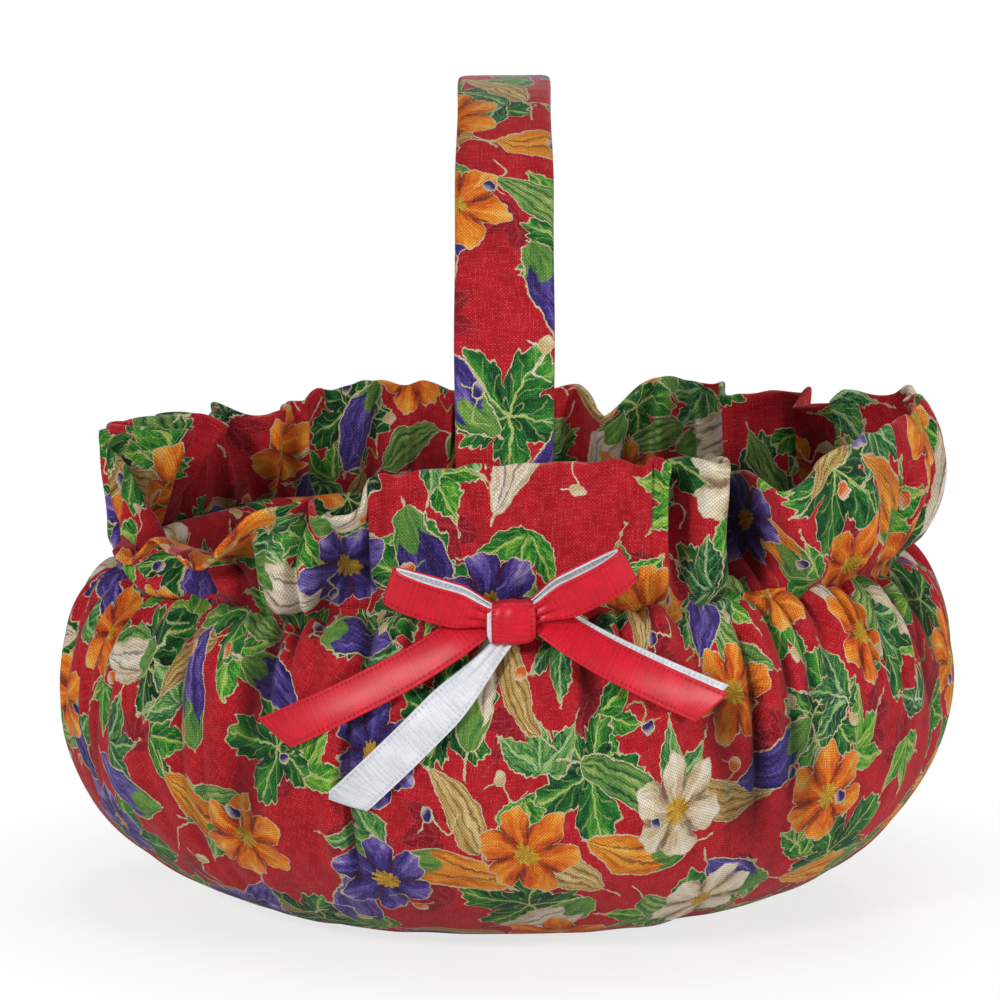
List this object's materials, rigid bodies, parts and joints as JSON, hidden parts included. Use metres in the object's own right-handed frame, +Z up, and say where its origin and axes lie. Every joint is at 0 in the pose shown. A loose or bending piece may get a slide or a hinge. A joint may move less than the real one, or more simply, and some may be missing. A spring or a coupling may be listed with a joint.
{
  "type": "fabric basket",
  "caption": "Round padded basket in gathered printed cotton, with a ruffled rim, an arched fabric-covered handle and a satin ribbon bow, for holding small things.",
  "frame": {"origin": "middle of the flat underside, on the surface that the basket stands on", "axes": "+Z up, -Y towards the front with the bow, +X to the right seen from the front; the handle's arch lies in the Y-Z plane"},
  "size_m": [0.245, 0.2457, 0.223],
  "materials": {
    "printed_cotton": "matte",
    "cotton_tape": "matte",
    "fibre_wadding": "matte",
    "woven_elastic": "matte",
    "tub_plastic": "satin",
    "grey_board": "matte",
    "nickel_rivet": "satin",
    "red_satin": "satin",
    "white_satin": "satin",
    "sewing_thread": "satin"
  },
  "bodies": {
    "root": {"inner_tub": "tub_plastic", "base_board": "grey_board", "wadding": "fibre_wadding", "cover": "printed_cotton", "lining": "printed_cotton", "neck_casing": "cotton_tape", "neck_elastic": "woven_elastic", "ruffle": "printed_cotton", "handle_strip": "tub_plastic", "handle_sleeve": "printed_cotton", "rivet_front_lower": "nickel_rivet", "rivet_front_upper": "nickel_rivet", "rivet_back_lower": "nickel_rivet", "rivet_back_upper": "nickel_rivet", "bow_knot": "red_satin", "bow_thread": "sewing_thread", "red_loop_left": "red_satin", "red_loop_right": "red_satin", "white_loop_left": "white_satin", "white_loop_right": "white_satin", "red_tail_left": "red_satin", "red_tail_right": "red_satin", "white_tail_left": "white_satin", "white_tail_right": "white_satin"}
  },
  "joints": []
}
